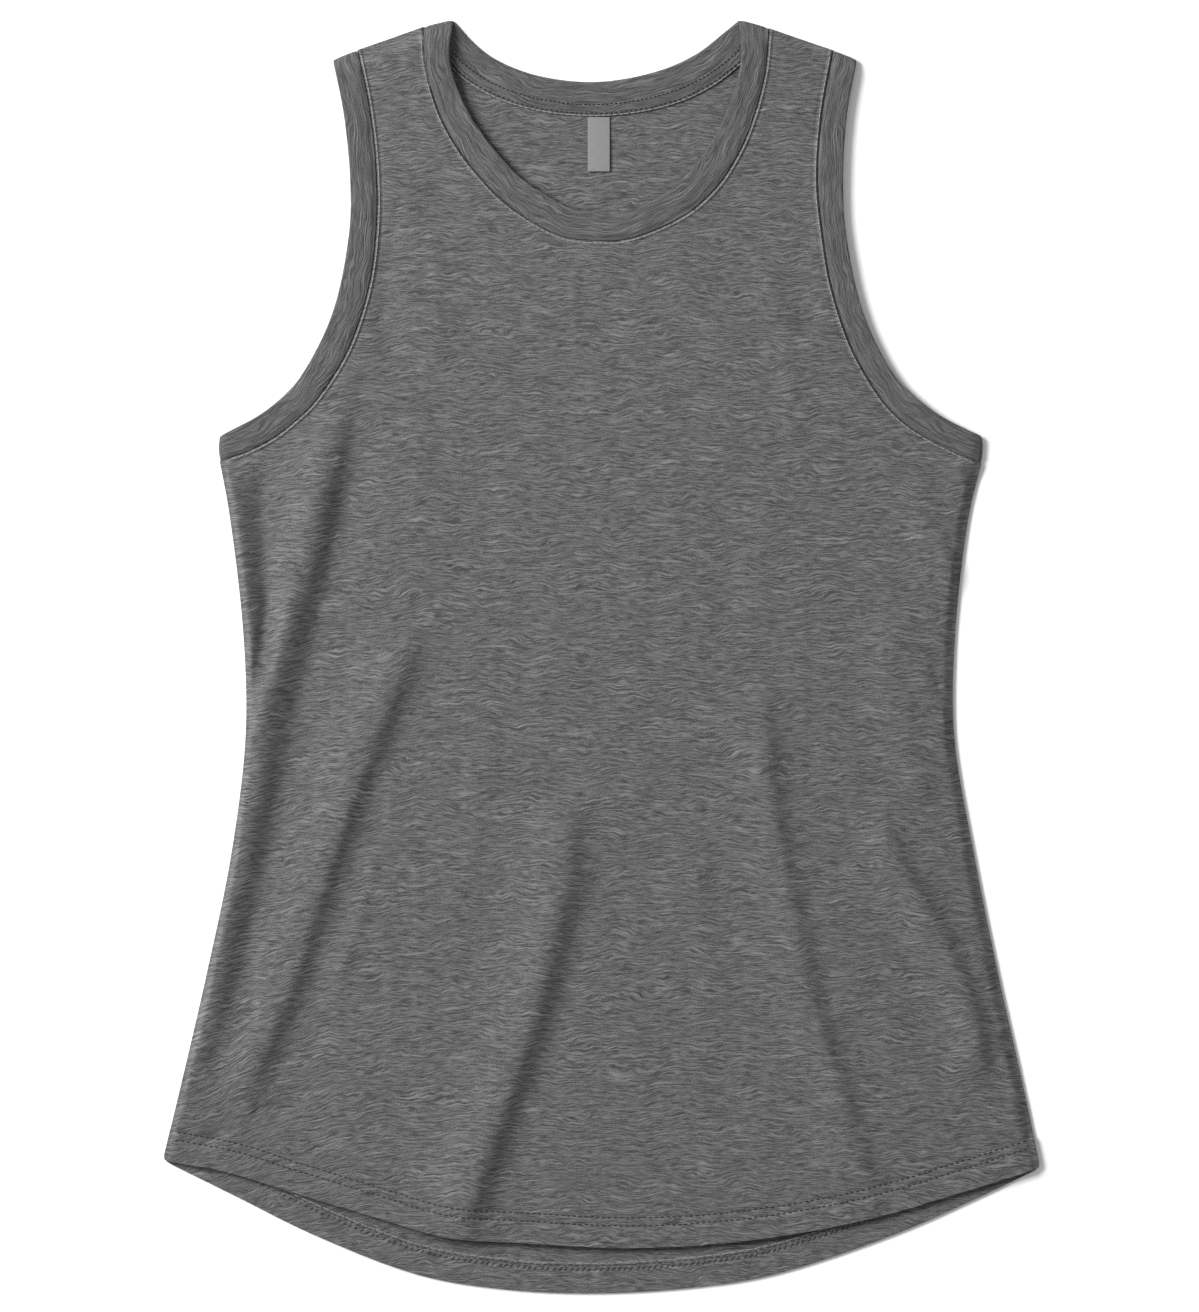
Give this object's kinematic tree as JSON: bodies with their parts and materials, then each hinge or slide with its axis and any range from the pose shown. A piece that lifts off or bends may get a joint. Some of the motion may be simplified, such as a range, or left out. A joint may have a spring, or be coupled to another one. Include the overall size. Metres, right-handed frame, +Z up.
{
  "type": "tank top",
  "caption": "Sleeveless tank top in plain grey slub jersey, laid flat, with self-fabric neck and armhole bands and a longer curved back hem.",
  "frame": {"origin": "on the surface the garment lies on, at the middle of its length and width", "axes": "+X towards the garment's edge at the right as seen from above, +Y from the hem towards the neck, +Z up from the surface, out of the garment's front"},
  "size_m": [0.5, 0.7255, 0.0105],
  "materials": {
    "jersey": "matt slub jersey",
    "band_jersey": "matt jersey, folded double",
    "label_satin": "plain satin ribbon"
  },
  "bodies": {
    "root": {"front_panel": "jersey", "back_panel": "jersey", "neck_band": "band_jersey", "left_arm_band": "band_jersey", "right_arm_band": "band_jersey", "back_neck_tape": "band_jersey", "neck_label": "label_satin"}
  },
  "joints": []
}
